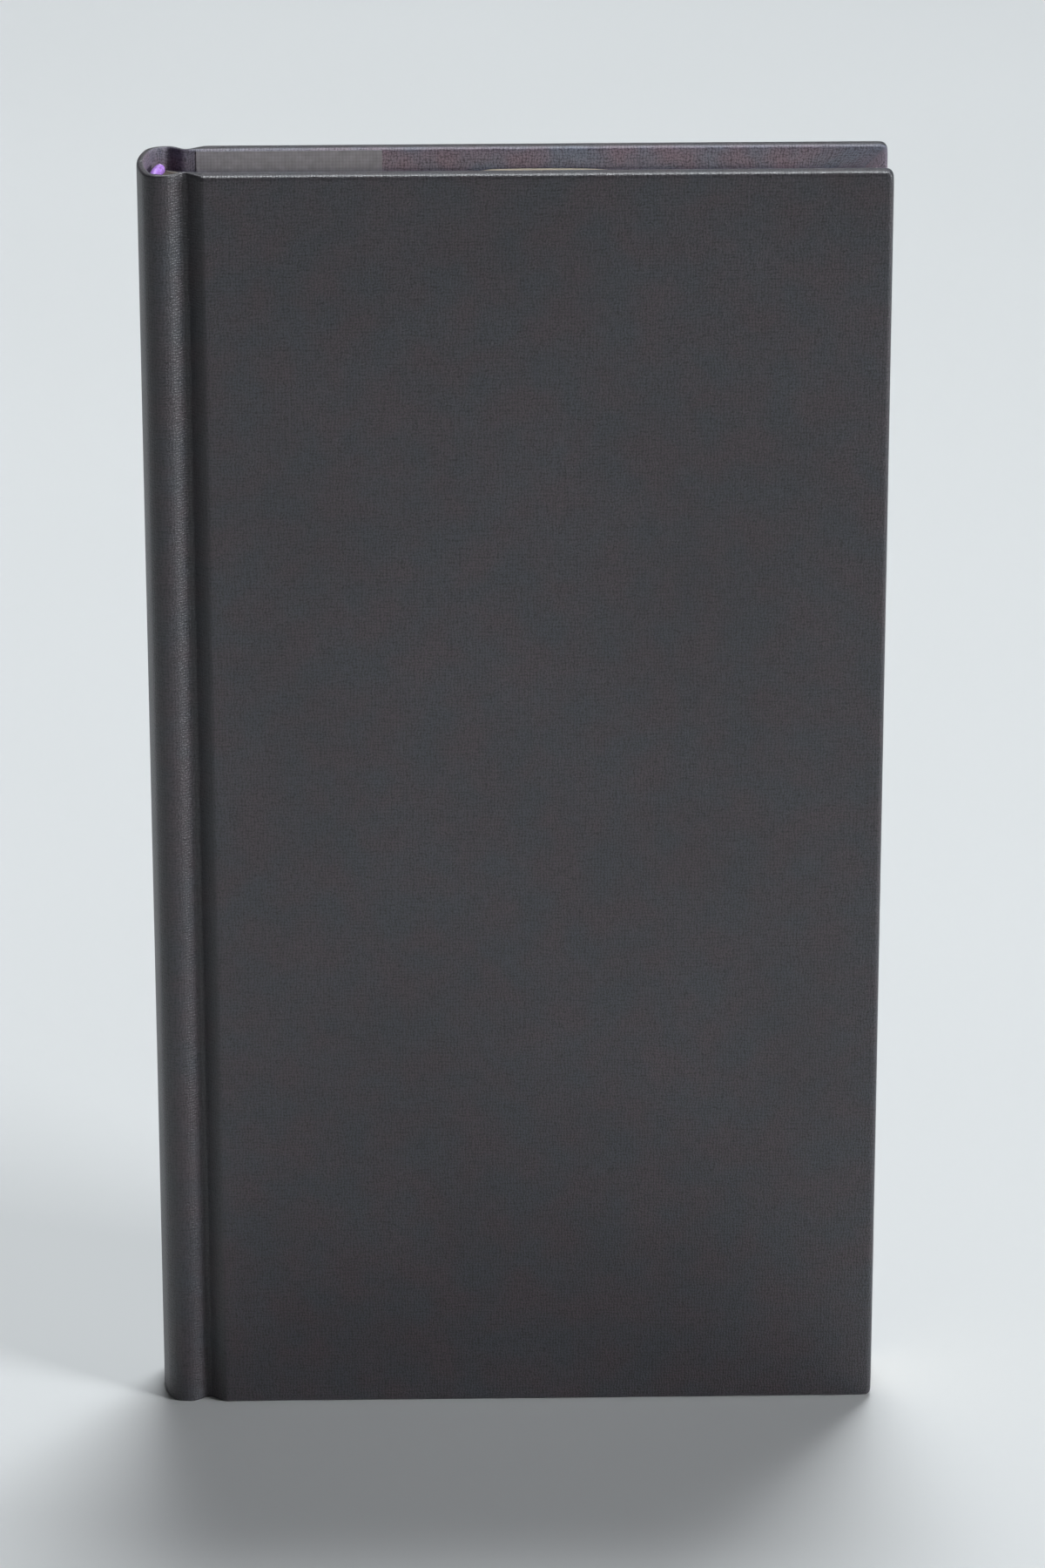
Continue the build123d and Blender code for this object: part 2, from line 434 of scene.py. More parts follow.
@dataclass(frozen=True)
class BandSilk:
    """Floss wound round a head band's core."""

    name: str = "band_silk"
    colour: Triple = (0.42, 0.20, 0.70)
    strand_scale: float = 5200.0
    relief: float = 0.04 * MM

    def material(self) -> bpy.types.Material:
        """Violet thread with a soft lustre.

        Returns:
            The band's material.
        """
        g = Graph(self.name)
        place = g.add("ShaderNodeTexCoord").outputs["Object"]
        strand = g.noise(g.stretched(place, (0.4, 1.0, 0.4)), self.strand_scale, 2.0)
        low = tuple(0.62 * part for part in self.colour)
        high = tuple(min(1.0, 1.3 * part) for part in self.colour)
        colour = g.ramp(strand, [(0.3, low), (0.7, high)])
        return g.finish(
            Base_Color=colour, Roughness=0.42, Sheen_Weight=0.4, Sheen_Roughness=0.4,
            Normal=g.bump(strand, 0.4, self.relief),
        )  # fmt: skip


# --- Mesh helpers ---
def keep(
    bm: bmesh.types.BMesh, name: str, material: bpy.types.Material, smooth: bool = True
) -> bpy.types.Object:
    """Turns a finished bmesh into an object at the origin.

    Args:
        bm: The bmesh, which is freed.
        name: The piece's name.
        material: Its finish.
        smooth: Whether its faces are shaded smooth.

    Returns:
        The new object.
    """
    mesh = bpy.data.meshes.new(name)
    bm.to_mesh(mesh)
    bm.free()
    mesh.polygons.foreach_set("use_smooth", [smooth] * len(mesh.polygons))
    mesh.materials.append(material)
    piece = bpy.data.objects.new(name, mesh)
    bpy.context.scene.collection.objects.link(piece)
    return piece


def settle(piece: bpy.types.Object) -> None:
    """Applies a piece's modifiers to its mesh.

    Args:
        piece: The object, which keeps its name.
    """
    bpy.context.view_layer.update()
    graph = bpy.context.evaluated_depsgraph_get()
    mesh = bpy.data.meshes.new_from_object(piece.evaluated_get(graph), depsgraph=graph)
    piece.modifiers.clear()
    piece.data = mesh
    LOG.info("%s: %d faces", piece.name, len(mesh.polygons))


def thicken(piece: bpy.types.Object, thickness: float, levels: int) -> None:
    """Smooths a sheet, gives it its thickness inwards and applies both.

    Args:
        piece: A sheet whose faces point outwards.
        thickness: The stock's thickness in metres.
        levels: Subdivisions first.
    """
    if levels:
        smoother = piece.modifiers.new("smooth", "SUBSURF")
        smoother.levels = levels
        smoother.render_levels = levels
        smoother.boundary_smooth = "PRESERVE_CORNERS"
    wall = piece.modifiers.new("thickness", "SOLIDIFY")
    wall.thickness = thickness
    wall.offset = -1.0
    settle(piece)


def arc(centre: Vector, radius: float, start: float, end: float, steps: int) -> list[Vector]:
    """Points round an arc.

    Args:
        centre: Its centre.
        radius: Its radius in metres.
        start: First angle in degrees.
        end: Last angle in degrees.
        steps: How many spaces between points.

    Returns:
        The points, both ends included.
    """
    angles = [math.radians(start + (end - start) * step / steps) for step in range(steps + 1)]
    return [centre + radius * Vector((math.cos(angle), math.sin(angle))) for angle in angles]


def dress(node: str, material: bpy.types.Material) -> None:
    """Gives a carried-over node its finish.

    Args:
        node: The node's name.
        material: Its finish.
    """
    mesh = FRAME["nodes"][node].data
    mesh.materials.clear()
    mesh.materials.append(material)
    LOG.info("%s: dressed in %s", node, material.name)


# --- The case ---
@dataclass
class Case:
    """The cloth case: one sheet over both boards and the spine, in two halves that meet on the crown."""

    cloth: float = 0.3 * MM
    card: float = 0.6 * MM
    crown_radius: float = 18.0 * MM
    shoulder_radius: float = 3.0 * MM
    ridge_width: float = 0.1 * MM
    flank_radius: float = 3.0 * MM
    groove_radius: float = 0.9 * MM
    groove_depth: float = 2.15 * MM
    edge_round: float = 1.2 * MM
    fold_reach: float = 0.8 * MM
    fold_square: float = 0.62
    corner_round: float = 0.3 * MM
    card_reach: float = 3.3 * MM
    card_fade: float = 1.4 * MM
    turn_in: float = 15.0 * MM
    spine_turn_in: float = 12.0 * MM
    wall_share: float = 0.9
    wander: float = 0.07 * MM
    wander_scale: float = 38.0
    wander_fade: float = 6.0 * MM
    bend_before: float = 2.3 * MM
    bend_after: float = 0.2 * MM
    rows: int = 56
    face_columns: int = 30
    fold_steps: int = 8
    tuck_shares: tuple[float, ...] = (0.08, 0.5, 1.0)
    finish: BookCloth = field(default_factory=BookCloth)
    # The turned-in faces wear a paler copy of the cloth: painted light for the light that the pages and lamps
    # throw on the inside of the case.
    turned: BookCloth = BookCloth("turned_cloth_painted_light", (0.055, 0.052, 0.062), (0.180, 0.172, 0.205), gloss=0.3)

    def __post_init__(self) -> None:
        """Reads the case's outline from the frame."""
        _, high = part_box("back_cover_cloth")
        spine_low, spine_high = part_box("spine_cloth")
        board_low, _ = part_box("back_board")
        self.crown_x = spine_low[0]
        self.fore_x = high[0]
        self.height = high[2]
        self.outer = high[1]
        self.inner = self.outer - (2.0 * self.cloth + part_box("back_board")[1][1] - board_low[1])
        self.ridge = spine_high[1]
        self.board_x = board_low[0]
        self.groove_x = FRAME["record"]["behaviour"]["joints"][0]["pos_m"][0]
        self.groove_floor = self.outer - self.groove_depth

    def section(self) -> Section:
        """Outside of the cloth from the crown to the start of the fore-edge's rounding.

        Returns:
            Each point with the point on the inner face that the head fold comes down to.
        """
        crown = Vector((self.crown_x + self.crown_radius, 0.0))
        shoulder_y = self.ridge - self.shoulder_radius
        reach = self.crown_radius - self.shoulder_radius
        shoulder = Vector((crown.x - math.sqrt(reach**2 - shoulder_y**2), shoulder_y))
        crown_turn = math.degrees(math.asin(shoulder_y / reach))
        flank = Vector((shoulder.x + self.ridge_width, self.ridge - self.flank_radius))
        groove = Vector((self.groove_x, self.groove_floor + self.groove_radius))
        edge = Vector((self.board_x - self.cloth + self.edge_round, self.outer - self.edge_round))
        down = self.slope(flank, groove, self.flank_radius, falling=True)
        up = self.slope(groove, edge, self.edge_round, falling=False)
        line = arc(crown, self.crown_radius, 180.0, 180.0 - crown_turn, 7)
        line += arc(shoulder, self.shoulder_radius, 180.0 - crown_turn, 90.0, 9)[1:]
        line += arc(flank, self.flank_radius, 90.0, 90.0 - down, 4)
        line += arc(groove, self.groove_radius, 270.0 - down, 270.0 + up, 7)
        line += arc(edge, self.edge_round, 90.0 + up, 90.0, 5)
        face_end = self.fore_x - self.fold_reach
        start = line[-1].x
        for step in range(1, self.face_columns + 1):
            share = step / self.face_columns
            line.append(Vector((start + (face_end - start) * share, self.outer)))
        line.insert(-1, Vector((face_end - self.corner_round, self.outer)))
        line.insert(-1, Vector((face_end - self.corner_round * (1.0 - CORNER_TANGENT), self.outer)))
        return [(point, self.under(index, line)) for index, point in enumerate(line)]

    def slope(self, left: Vector, right: Vector, convex: float, falling: bool) -> float:
        """Steepness in degrees of the line that touches a rounding and the groove's hollow.

        Args:
            left: Centre nearer the spine.
            right: Centre nearer the fore-edge.
            convex: Radius of the rounding that isn't the groove.
            falling: Whether the line falls from left to right.

        Returns:
            The angle, always positive.
        """
        way = right - left
        tilt = math.degrees(math.asin((convex + self.groove_radius) / way.length))
        rise = math.degrees(math.atan2(way.y, way.x))
        return tilt - rise if falling else tilt + rise

    def under(self, index: int, line: list[Vector]) -> Vector:
        """Point on the inside of the case below one on the outside.

        Args:
            index: Which point of the line.
            line: The outside of the cloth.

        Returns:
            The inner point.
        """
        point = line[index]
        if point.x >= self.board_x:
            return Vector((point.x, self.inner))
        if point.x >= self.groove_x:
            share = (point.x - self.groove_x) / (self.board_x - self.groove_x)
            lip = self.groove_floor - 2.0 * self.cloth
            return Vector((point.x, lip + (self.inner - lip) * share))
        before = line[max(index - 1, 0)]
        after = line[index + 1]
        way = (after - before).normalized()
        inwards = Vector((way.y, -way.x))
        if index == 0:
            inwards = Vector((1.0, 0.0))
        past = min(1.0, max(0.0, (point.x - self.crown_x - self.card_reach) / self.card_fade))
        depth = 2.0 * self.cloth + self.card * (1.0 - past * past * (3.0 - 2.0 * past))
        return point + inwards * depth

    def half(self, side: Side) -> bpy.types.Object:
        """One half of the case's cloth, folded in round the head, fore-edge and tail.

        Args:
            side: Front or back.

        Returns:
            The piece.
        """
        section = self.section()
        lengths = [0.0]
        for (one, _), (two, _) in zip(section, section[1:]):
            lengths.append(lengths[-1] + (two - one).length)
        columns = len(section) - 1
        bm = bmesh.new()
        uv = bm.loops.layers.uv.new("cloth")
        bmesh.ops.create_grid(bm, x_segments=columns, y_segments=self.rows, size=1.0)
        plan: dict[bmesh.types.BMVert, tuple[int, float, float]] = {}
        for vert in bm.verts:
            column = round((vert.co.x + 1.0) / 2.0 * columns)
            row = round((vert.co.y + 1.0) / 2.0 * self.rows)
            outer, inner = section[column]
            lift = min((outer - inner).length / 2.0, self.fold_reach)
            height = self.row_height(row, lift)
            vert.co = (outer.x, side.value * outer.y, height)
            plan[vert] = (column, outer.x, height)
        flat = {vert: (lengths[column], vert.co.z) for vert, (column, _, _) in plan.items()}
        rim = [vert for vert in bm.verts if vert.is_boundary and plan[vert][0] > 0]
        rim += [vert for vert in bm.verts if plan[vert][0] == 0 and len(vert.link_edges) == 2]
        rim_set = set(rim)
        edges = [edge for edge in bm.edges if edge.is_boundary and set(edge.verts) <= rim_set]
        fold = {vert: self.fold_data(vert, plan[vert], section) for vert in rim}
        for vert in rim:
            vert.co = self.on_fold(fold[vert], 0.0, side)
        for step in range(1, self.fold_steps + 1):
            turn = math.pi * step / self.fold_steps
            edges, fold, flat = self.grow(bm, edges, fold, flat, lambda data: self.on_fold(data, turn, side))
            # Faces made so far keep the dark cloth; those made after the fold passes its top take the paler
            # copy, painted light on the fold's inner half and the turn-in.
            if step == self.fold_steps // 2 + 1:
                outside = set(bm.faces)
        for share in self.tuck_shares:
            edges, fold, flat = self.grow(bm, edges, fold, flat, lambda data: self.tucked(data, share, side))
        for face in bm.faces:
            face.material_index = 0 if face in outside else 1
        self.relax(bm, side)
        for face in bm.faces:
            for loop in face.loops:
                loop[uv].uv = flat[loop.vert]
        bmesh.ops.remove_doubles(bm, verts=bm.verts, dist=MERGE)
        bmesh.ops.recalc_face_normals(bm, faces=bm.faces)
        self.face_out(bm, side)
        piece = keep(bm, f"{side.word}_case_cloth", self.finish.material())
        piece.data.materials.append(self.turned.material())
        thicken(piece, self.cloth * self.wall_share, 1)
        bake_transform(piece)
        return piece

    def row_height(self, row: int, lift: float) -> float:
        """Height of a row of the sheet, closer together near head and tail.

        Args:
            row: Which row.
            lift: How far the rows stop short of the head and tail.

        Returns:
            The height in metres.
        """
        ends = [0.0, self.corner_round * (1.0 - CORNER_TANGENT), self.corner_round]
        span = self.height - 2.0 * lift
        if row < len(ends):
            return lift + ends[row]
        if self.rows - row < len(ends):
            return self.height - lift - ends[self.rows - row]
        share = (row - len(ends) + 1) / (self.rows - 2 * (len(ends) - 1))
        return lift + self.corner_round + (span - 2.0 * self.corner_round) * share

    def fold_data(
        self, vert: bmesh.types.BMVert, place: tuple[int, float, float], section: Section
    ) -> dict[str, Vector | float]:
        """What the fold at a rim vertex needs.

        Args:
            vert: A vertex on the head, tail or fore-edge rim.
            place: Its column and its place on the face.
            section: The case's section.

        Returns:
            Outer and inner points, the way out across the face, and the fold's height.
        """
        column, x, z = place
        outer, inner = section[column]
        lift = min((outer - inner).length / 2.0, self.fold_reach)
        face_end = self.fore_x - self.fold_reach
        heel = Vector((min(x, face_end - self.corner_round), 0.0))
        heel.y = min(max(z, lift + self.corner_round), self.height - lift - self.corner_round)
        way = Vector((x, z)) - heel
        if column < len(section) - 4:
            way.x = 0.0
            heel.x = x
        out = way.normalized()
        base = heel + out * self.corner_round
        return {"outer": outer, "inner": inner, "out": out, "base": base, "lift": lift, "column": column}

    def on_fold(self, data: dict, turn: float, side: Side) -> Vector:
        """Point on the rounded fold.

        Args:
            data: From fold_data.
            turn: Angle round the fold, 0 on the outside and pi on the inside.
            side: Front or back.

        Returns:
            The point.
        """
        outer, inner = data["outer"], data["inner"]
        squared = math.copysign(abs(math.cos(turn)) ** self.fold_square, math.cos(turn))
        across = (outer + inner) / 2.0 + (outer - inner) / 2.0 * squared
        rise = data["lift"] * abs(math.sin(turn)) ** self.fold_square
        shift = across - outer
        x = data["base"].x + data["out"].x * rise + shift.x
        z = data["base"].y + data["out"].y * rise
        return Vector((x, side.value * across.y, z))

    def tucked(self, data: dict, share: float, side: Side) -> Vector:
        """Point on the turned-in cloth, mitred at the corners.

        Args:
            data: From fold_data.
            share: Share of the turn-in reached.
            side: Front or back.

        Returns:
            The point on the inside of the case.
        """
        start = self.on_fold(data, math.pi, side)
        on_board = start.x >= self.board_x
        depth = self.turn_in if on_board else self.spine_turn_in
        x = min(start.x, self.fore_x - depth) if on_board else start.x
        z = min(max(start.z, depth), self.height - depth)
        return start.lerp(Vector((x, start.y, z)), share)

    def grow(
        self, bm: bmesh.types.BMesh, edges: list, fold: dict, flat: dict, place: Callable[[dict], Vector]
    ) -> tuple[list, dict, dict]:
        """Extrudes the rim and moves its new vertices.

        Args:
            bm: The mesh.
            edges: The rim's edges.
            fold: Fold data for each rim vertex.
            flat: Place on the flat cloth for each vertex.
            place: Gives a new vertex's point from its fold data.

        Returns:
            The new rim's edges, fold data and flat places.
        """
        old = list({vert for edge in edges for vert in edge.verts})
        made = bmesh.ops.extrude_edge_only(bm, edges=edges)["geom"]
        new_verts = [item for item in made if isinstance(item, bmesh.types.BMVert)]
        new_edges = [
            item for item in made
            if isinstance(item, bmesh.types.BMEdge) and all(vert in new_verts for vert in item.verts)
        ]  # fmt: skip
        new_fold = {}
        for vert in new_verts:
            source = next(edge.other_vert(vert) for edge in vert.link_edges if edge.other_vert(vert) in old)
            new_fold[vert] = fold[source]
            vert.co = place(fold[source])
            gone = (vert.co - source.co).length
            out = fold[source]["out"]
            u, v = flat[source]
            flat[vert] = (u + out.x * gone, v + out.y * gone)
        return new_edges, new_fold, flat

    def relax(self, bm: bmesh.types.BMesh, side: Side) -> None:
        """Lets the outside wander a little, as glued cloth over board does.

        Args:
            bm: The mesh.
            side: Front or back, which get different wanders.
        """
        for vert in bm.verts:
            if side.value * vert.co.y < self.inner + self.edge_round:
                continue
            seed = vert.co * self.wander_scale + Vector((0.0, 11.0 * side.value, 0.0))
            share = min(1.0, max(0.0, (vert.co.x - self.board_x) / self.wander_fade))
            vert.co.y -= side.value * share * self.wander * (0.5 + 0.5 * noise.noise(seed))

    def face_out(self, bm: bmesh.types.BMesh, side: Side) -> None:
        """Turns the sheet's faces away from the book if they point in.

        Args:
            bm: The mesh.
            side: Front or back.
        """
        bm.normal_update()
        largest = max(bm.faces, key=lambda face: face.calc_area() if face.normal.y * side.value else 0.0)
        centre = largest.calc_center_median()
        outwards = 1.0 if abs(centre.y) > self.inner + self.edge_round else -1.0
        if largest.normal.y * side.value * outwards < 0.0:
            bmesh.ops.reverse_faces(bm, faces=bm.faces)

    def build(self) -> None:
        """Makes both halves of the cloth and dresses the boards inside them."""
        halves = {side: self.half(side) for side in Side}
        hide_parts("front_cover_cloth", "spine_cloth")
        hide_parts("back_cover_cloth", "spine_cloth")
        grey = Paper("millboard", (0.33, 0.31, 0.28), 0.05 * MM, 0.12).material()
        for node in ("front_board", "back_board", "spine_inlay"):
            dress(node, grey)


# --- Inside of the joints ---
@dataclass
class JointLinings:
    """Thin cloth down the inside of each joint, from the pages' shoulder onto the cover."""

    thickness: float = 0.16 * MM
    margin: float = 0.25 * MM
    lap: float = 1.5 * MM
    pressed: float = 0.14 * MM
    colour: Triple = (0.20, 0.195, 0.215)
    panel_grid: tuple[int, int] = (24, 90)
    strip_cuts: int = 24

    def build(self) -> None:
        """Makes the strip across each joint and the panel glued to each cover."""
        finish = PlainCloth("joint_cloth", self.colour).material()
        for side in Side:
            self.strip(side, finish)
            self.panel(side, finish)

    def panel(self, side: Side, finish: bpy.types.Material) -> bpy.types.Object:
        """The part of the lining that is glued to the cover, from its joint to the pastedown.

        Args:
            side: Front or back.
            finish: Its material.

        Returns:
            The piece, which rides on the cover.
        """
        node = f"{side.word}_joint_strip"
        low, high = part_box(node)
        _, case_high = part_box(f"{side.word}_cover_cloth")
        groove_x = FRAME["record"]["behaviour"]["joints"][0]["pos_m"][0]
        face = min(abs(low[1]), abs(high[1]))
        left = groove_x + self.lap
        bottom, top = self.margin, case_high[2] - self.margin
        bm = bmesh.new()
        columns, rows = self.panel_grid
        bmesh.ops.create_grid(bm, x_segments=columns, y_segments=rows, size=0.5)
        for vert in bm.verts:
            x = left + (vert.co.x + 0.5) * (high[0] - left)
            z = bottom + (vert.co.y + 0.5) * (top - bottom)
            vert.co = (x, side.value * (face + self.pressed), z)
        bmesh.ops.recalc_face_normals(bm, faces=bm.faces)
        if next(iter(bm.faces)).normal.y * side.value > 0.0:
            bmesh.ops.reverse_faces(bm, faces=bm.faces)
        piece = keep(bm, f"{side.word}_joint_panel", finish, smooth=False)
        thicken(piece, self.thickness, 0)
        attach(piece, side.body)
        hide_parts(node)
        return piece

    def strip(self, side: Side, finish: bpy.types.Material) -> bpy.types.Object:
        """The part of the lining that crosses a joint.

        Args:
            side: Front or back.
            finish: Its material.

        Returns:
            The piece.
        """
        strip_low, strip_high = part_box(f"{side.word}_joint_strip")
        leaf_low, leaf_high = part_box(f"{side.word}_flyleaf")
        groove_x = FRAME["record"]["behaviour"]["joints"][0]["pos_m"][0]
        crest = max(abs(leaf_low[1]), abs(leaf_high[1]))
        face = min(abs(strip_low[1]), abs(strip_high[1]))
        route = [
            Vector((leaf_low[0] + 0.05 * MM, crest - 0.02 * MM)),
            Vector((leaf_low[0] + 0.75 * MM, crest - 0.45 * MM)),
            Vector((groove_x - 1.0 * MM, crest - 0.95 * MM)),
            Vector((groove_x, face + 0.35 * MM)),
            Vector((groove_x + 1.2 * MM, face + 0.1 * MM)),
            Vector((strip_low[0] + 0.3 * MM, face - 0.02 * MM)),
        ]
        bm = bmesh.new()
        bottom, top = leaf_low[2], leaf_high[2]
        line = [bm.verts.new((point.x, side.value * point.y, bottom)) for point in route]
        edges = [bm.edges.new(pair) for pair in zip(line, line[1:])]
        made = bmesh.ops.extrude_edge_only(bm, edges=edges)["geom"]
        risen = [item for item in made if isinstance(item, bmesh.types.BMVert)]
        bmesh.ops.translate(bm, verts=risen, vec=(0.0, 0.0, top - bottom))
        upright = [edge for edge in bm.edges if abs(edge.verts[0].co.z - edge.verts[1].co.z) > MM]
        bmesh.ops.subdivide_edges(bm, edges=upright, cuts=self.strip_cuts, use_grid_fill=True)
        bmesh.ops.recalc_face_normals(bm, faces=bm.faces)
        piece = keep(bm, f"{side.word}_joint_lining", finish)
        thicken(piece, self.thickness, 1)
        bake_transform(piece)
        return piece


# --- The pages ---
@dataclass
class Pages:
    """The page block, its endpapers and what is glued to its back."""

    cream: Triple = (0.70, 0.645, 0.53)
    cockle: float = 0.30 * MM
    cockle_at: float = 3.9 * MM
    cockle_span: float = 8.8 * MM
    cockle_depth: float = 24.0 * MM
    columns: int = 60
    rows: int = 6

    def build(self) -> None:
        """Dresses the leaves, endpapers, gauze and lining."""
        dress("text_block", PageEdges().material())
        leaf = Paper("endpaper", self.cream).material()
        dress("front_flyleaf", leaf)
        for side in Side:
            dress(f"{side.word}_pastedown", leaf)
        self.flyleaf(leaf)
        dress("spine_gauze", PlainCloth("gauze", (0.66, 0.63, 0.56), 1.1 * MM).material())
        dress("spine_lining", Paper("kraft_lining", (0.42, 0.31, 0.19)).material())

    def flyleaf(self, finish: bpy.types.Material) -> bpy.types.Object:
        """The back flyleaf, which has cockled and stands proud for part of its head edge.

        Args:
            finish: Its material.

        Returns:
            The piece.
        """
        node = "back_flyleaf"
        low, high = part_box(node)
        bm = bmesh.new()
        bm.from_mesh(FRAME["nodes"][node].data)
        for column in range(1, self.columns):
            self.cut(bm, 0, low[0] + (high[0] - low[0]) * column / self.columns)
        for row in range(self.rows):
            self.cut(bm, 2, high[2] - self.cockle_depth * (1.0 - row / self.rows))
        for vert in bm.verts:
            across = max(0.0, 1.0 - ((vert.co.x - self.cockle_at) / self.cockle_span) ** 2)
            up = max(0.0, 1.0 - (high[2] - vert.co.z) / self.cockle_depth)
            vert.co.z += self.cockle * across**0.25 * up * up
        piece = keep(bm, "back_flyleaf_sheet", finish, smooth=False)
        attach(piece, "page_block")
        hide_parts(node)
        return piece

    def cut(self, bm: bmesh.types.BMesh, axis: int, place: float) -> None:
        """Adds a line of edges across a mesh.

        Args:
            bm: The mesh.
            axis: The axis that the cutting plane faces.
            place: Where on that axis it lies.
        """
        point = Vector((0.0, 0.0, 0.0))
        point[axis] = place
        facing = Vector((0.0, 0.0, 0.0))
        facing[axis] = 1.0
        bmesh.ops.bisect_plane(bm, geom=[*bm.verts, *bm.edges, *bm.faces], plane_co=point, plane_no=facing)


@dataclass
class EndBands:
    """The beaded bands at the head and tail of the pages."""

    bead_radius: float = 0.8 * MM
    tape: float = 0.3 * MM
    wraps: int = 30
    wrap_depth: float = 0.09 * MM
    slant: float = 0.8
    sides: int = 24
    sweep: float = 20.0
    steps_to_wrap: int = 8
    bead_foot: float = -0.9

    def build(self) -> None:
        """Winds a band at each end."""
        finish = BandSilk().material()
        for node, upwards in (("head_band", 1.0), ("tail_band", -1.0)):
            self.band(node, upwards, finish)

    def outline(self, tape_height: float, upwards: float) -> list[Vector]:
        """Section of the bead with its tape, in the book's middle plane.

        Args:
            tape_height: How far the tape goes down the pages' back.
            upwards: 1 at the head, -1 at the tail.

        Returns:
            Points going once round, measured from the bead's middle.
        """
        ring = []
        for step in range(self.sides + 1):
            turn = math.radians(180.0 - 270.0 * step / self.sides)
            ring.append(Vector((math.cos(turn), 0.0, upwards * math.sin(turn))) * self.bead_radius)
        inner = -self.bead_radius + self.tape
        neck = Vector((inner, 0.0, -upwards * self.bead_radius))
        foot = -upwards * (self.bead_radius + tape_height)
        return [*ring, neck, Vector((inner, 0.0, foot)), Vector((-self.bead_radius, 0.0, foot))]

    def band(self, node: str, upwards: float, finish: bpy.types.Material) -> bpy.types.Object:
        """A wound bead along the curve of the page block's back, with its tape.

        Args:
            node: The node that it stands for.
            upwards: 1 at the head, -1 at the tail.
            finish: Its material.

        Returns:
            The piece.
        """
        low, high = (Vector(corner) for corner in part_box(node))
        block_low, block_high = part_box("text_block")
        page_end = block_high[2] if upwards > 0 else block_low[2]
        radius = high.y / math.sin(math.radians(self.sweep))
        centre = Vector((low.x + radius, 0.0, page_end + upwards * self.bead_radius))
        height = high.z - low.z - 2.0 * self.bead_radius
        core = Vector((low.x + self.bead_radius, 0.0, centre.z))
        bm = bmesh.new()
        verts = [bm.verts.new(core + point) for point in self.outline(height, upwards)]
        rim = [bm.edges.new((one, two)) for one, two in zip(verts, [*verts[1:], verts[0]])]
        turn = Matrix.Rotation(math.radians(self.sweep), 3, "Z")
        bmesh.ops.rotate(bm, verts=verts, cent=centre, matrix=turn)
        bmesh.ops.spin(
            bm, geom=[*verts, *rim], cent=centre, axis=(0, 0, 1),
            angle=-2.0 * math.radians(self.sweep), steps=self.wraps * self.steps_to_wrap,
            use_merge=False, dvec=(0, 0, 0),
        )  # fmt: skip
        self.wind(bm, centre, radius - self.bead_radius, upwards)
        ends = [edge for edge in bm.edges if edge.is_boundary]
        bmesh.ops.holes_fill(bm, edges=ends, sides=0)
        bmesh.ops.recalc_face_normals(bm, faces=bm.faces)
        piece = keep(bm, f"{node}_silk", finish)
        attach(piece, "page_block")
        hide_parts(node)
        LOG.info("%s: bead wound", node)
        return piece

    def wind(self, bm: bmesh.types.BMesh, centre: Vector, core_radius: float, upwards: float) -> None:
        """Presses the grooves between the threads into the bead.

        Args:
            bm: The swept band.
            centre: Centre of its curve, at the height of the bead's middle.
            core_radius: How far the bead's middle is from that centre.
            upwards: 1 at the head, -1 at the tail.
        """
        reach = math.radians(self.sweep)
        for vert in bm.verts:
            rise = (vert.co.z - centre.z) * upwards / self.bead_radius
            if rise < self.bead_foot:
                continue
            flat = Vector((vert.co.x - centre.x, vert.co.y, 0.0))
            around = math.atan2(flat.y, -flat.x) / reach
            core = centre + flat.normalized() * core_radius
            phase = (around * 0.5 + 0.5) * self.wraps * math.pi + rise * self.slant
            press = self.wrap_depth * (1.0 - abs(math.sin(phase)))
            vert.co -= (vert.co - core).normalized() * press


# --- The studio ---
@dataclass(frozen=True)
class Lamp:
    """A square soft lamp aimed at the middle of the book. Its power is in watts and its spread in degrees."""

    name: str
    place: Triple
    size: float
    power: float
    colour: Triple
    spread: float = 180.0

    def hang(self) -> None:
        """Puts the lamp in the scene."""
        light = bpy.data.lights.new(self.name, "AREA")
        light.spread = math.radians(self.spread)
        light.size = self.size
        light.energy = self.power
        light.color = self.colour
        lamp = bpy.data.objects.new(self.name, light)
        lamp.location = self.place
        aim = Vector((0.0, 0.0, 0.1)) - Vector(self.place)
        lamp.rotation_euler = aim.to_track_quat("-Z", "Y").to_euler()
        bpy.context.scene.collection.objects.link(lamp)


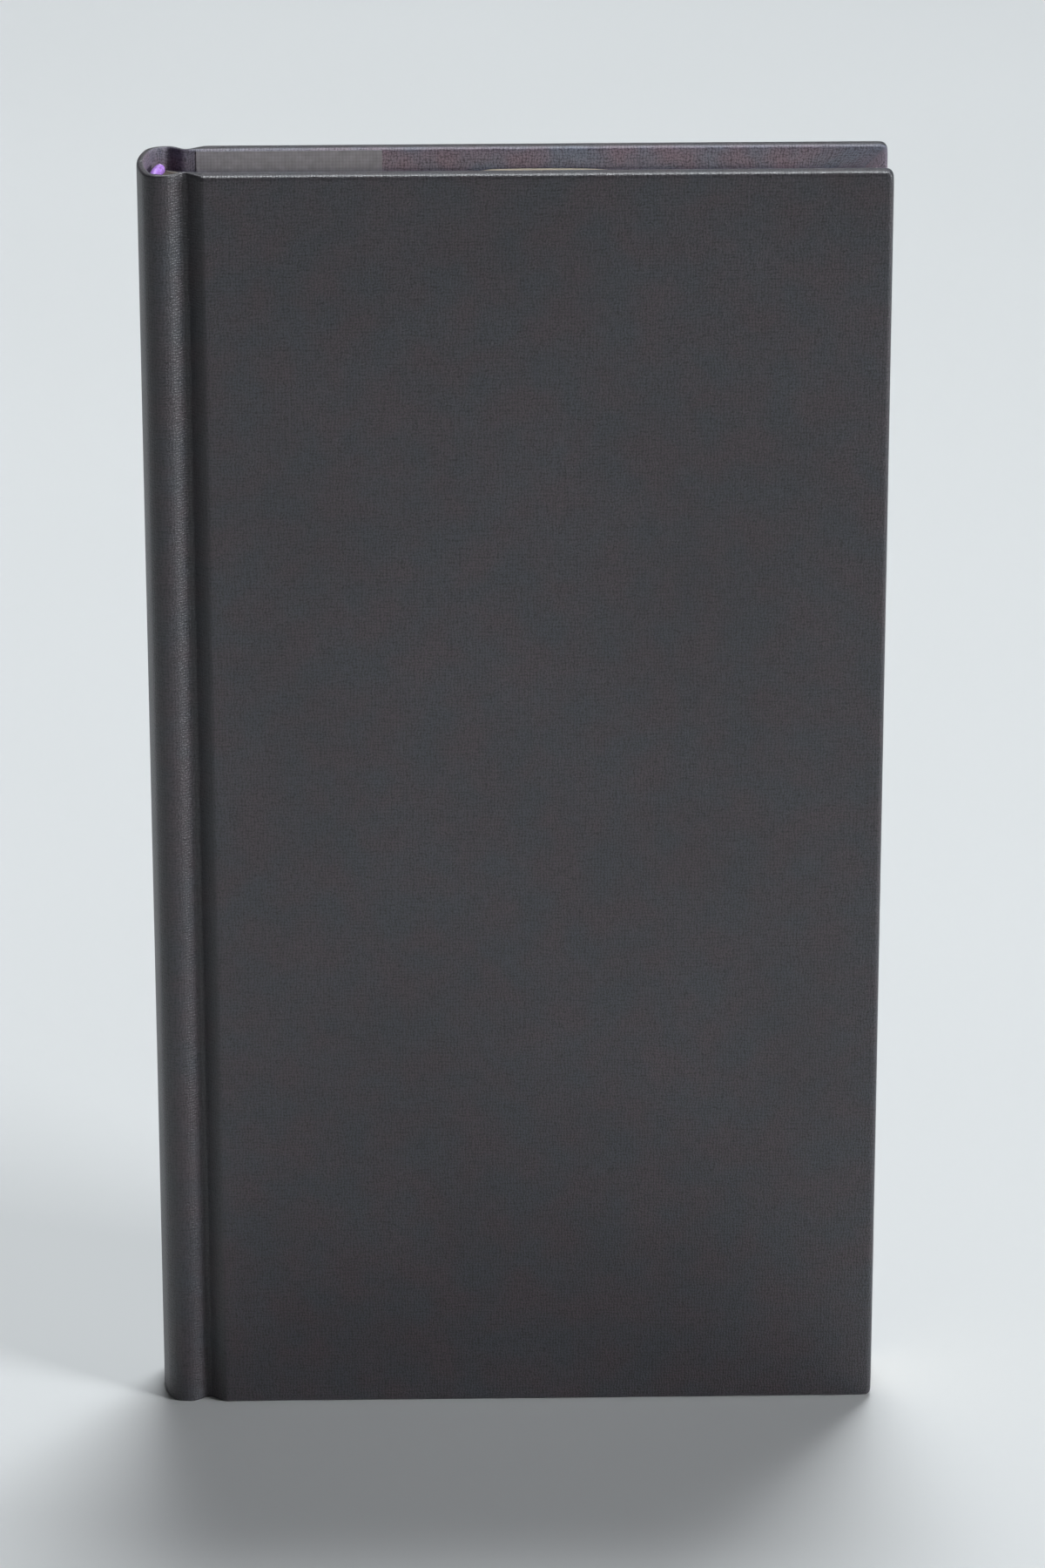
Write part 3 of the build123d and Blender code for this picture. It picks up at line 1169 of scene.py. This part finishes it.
@dataclass(frozen=True)
class Studio:
    """Floor, world, lamps and camera."""

    floor_colour: Triple = (0.64, 0.65, 0.65)
    floor_size: float = 6.0
    world_colour: Triple = (0.86, 0.90, 0.93)
    world_strength: float = 0.07
    lamps: tuple[Lamp, ...] = (
        Lamp("key_right", (2.2, -1.18, 0.72), 0.8, 3.5, (0.95, 0.97, 1.0), 36.0),
        Lamp("top_behind", (0.2, 0.85, 2.35), 0.8, 60.0, (0.93, 0.97, 1.0)),
        Lamp("front_fill", (0.3, -1.9, 1.6), 1.0, 1.0, (1.0, 0.97, 0.96)),
    )
    lens: float = 158.1
    sensor: float = 36.0
    camera_at: Triple = (-0.0174, -0.97255, 0.4938)
    camera_reach: float = 30.0
    pitch: float = 22.0
    yaw: float = 1.09
    roll: float = -0.09

    def build(self) -> None:
        """Sets up everything that isn't the book."""
        self.floor()
        self.world()
        for lamp in self.lamps:
            lamp.hang()
        self.camera()
        bpy.context.scene.view_settings.view_transform = "Standard"

    def floor(self) -> None:
        """A plain pale matt floor that runs far out on every side."""
        g = Graph("floor")
        place = g.add("ShaderNodeTexCoord").outputs["Object"]
        dimmer = tuple(0.985 * part for part in self.floor_colour)
        tone = g.ramp(g.noise(place, 6.0), [(0.3, dimmer), (0.7, self.floor_colour)])
        material = g.finish(Base_Color=tone, Roughness=0.95, Specular_IOR_Level=0.05)
        bm = bmesh.new()
        bmesh.ops.create_grid(bm, x_segments=1, y_segments=1, size=self.floor_size)
        plane = keep(bm, "floor", material, smooth=False)

    def world(self) -> None:
        """An even pale surround."""
        world = bpy.data.worlds.new("studio")
        world.use_nodes = True
        shade = world.node_tree.nodes["Background"]
        shade.inputs["Color"].default_value = (*self.world_colour, 1.0)
        shade.inputs["Strength"].default_value = self.world_strength
        bpy.context.scene.world = world

    def camera(self) -> None:
        """A long lens a little above the book, looking slightly down."""
        data = bpy.data.cameras.new("camera")
        data.sensor_width = self.sensor
        data.lens = self.lens
        data.clip_end = self.camera_reach
        eye = bpy.data.objects.new("camera", data)
        turn = Matrix.Rotation(math.radians(-self.yaw), 4, "Z")
        tilt = Matrix.Rotation(math.radians(90.0 - self.pitch), 4, "X")
        roll = Matrix.Rotation(math.radians(self.roll), 4, "Z")
        eye.matrix_world = Matrix.Translation(self.camera_at) @ turn @ tilt @ roll
        bpy.context.scene.collection.objects.link(eye)
        bpy.context.scene.camera = eye


def main() -> None:
    """Builds the book's looks round the frame."""
    logging.basicConfig(level=logging.INFO, format="%(name)s: %(message)s")
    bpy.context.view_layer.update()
    for part in (Case(), JointLinings(), Pages(), EndBands(), Studio()):
        LOG.info("building %s", type(part).__name__)
        part.build()


with open("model.json") as file:
    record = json.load(file)
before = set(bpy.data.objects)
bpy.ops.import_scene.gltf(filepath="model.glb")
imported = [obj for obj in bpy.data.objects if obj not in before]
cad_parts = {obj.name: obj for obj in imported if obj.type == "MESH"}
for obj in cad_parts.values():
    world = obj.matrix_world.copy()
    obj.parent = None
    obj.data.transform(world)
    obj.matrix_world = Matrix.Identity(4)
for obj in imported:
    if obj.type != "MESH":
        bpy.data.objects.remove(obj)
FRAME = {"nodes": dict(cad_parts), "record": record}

if __name__ == "__main__":
    main()
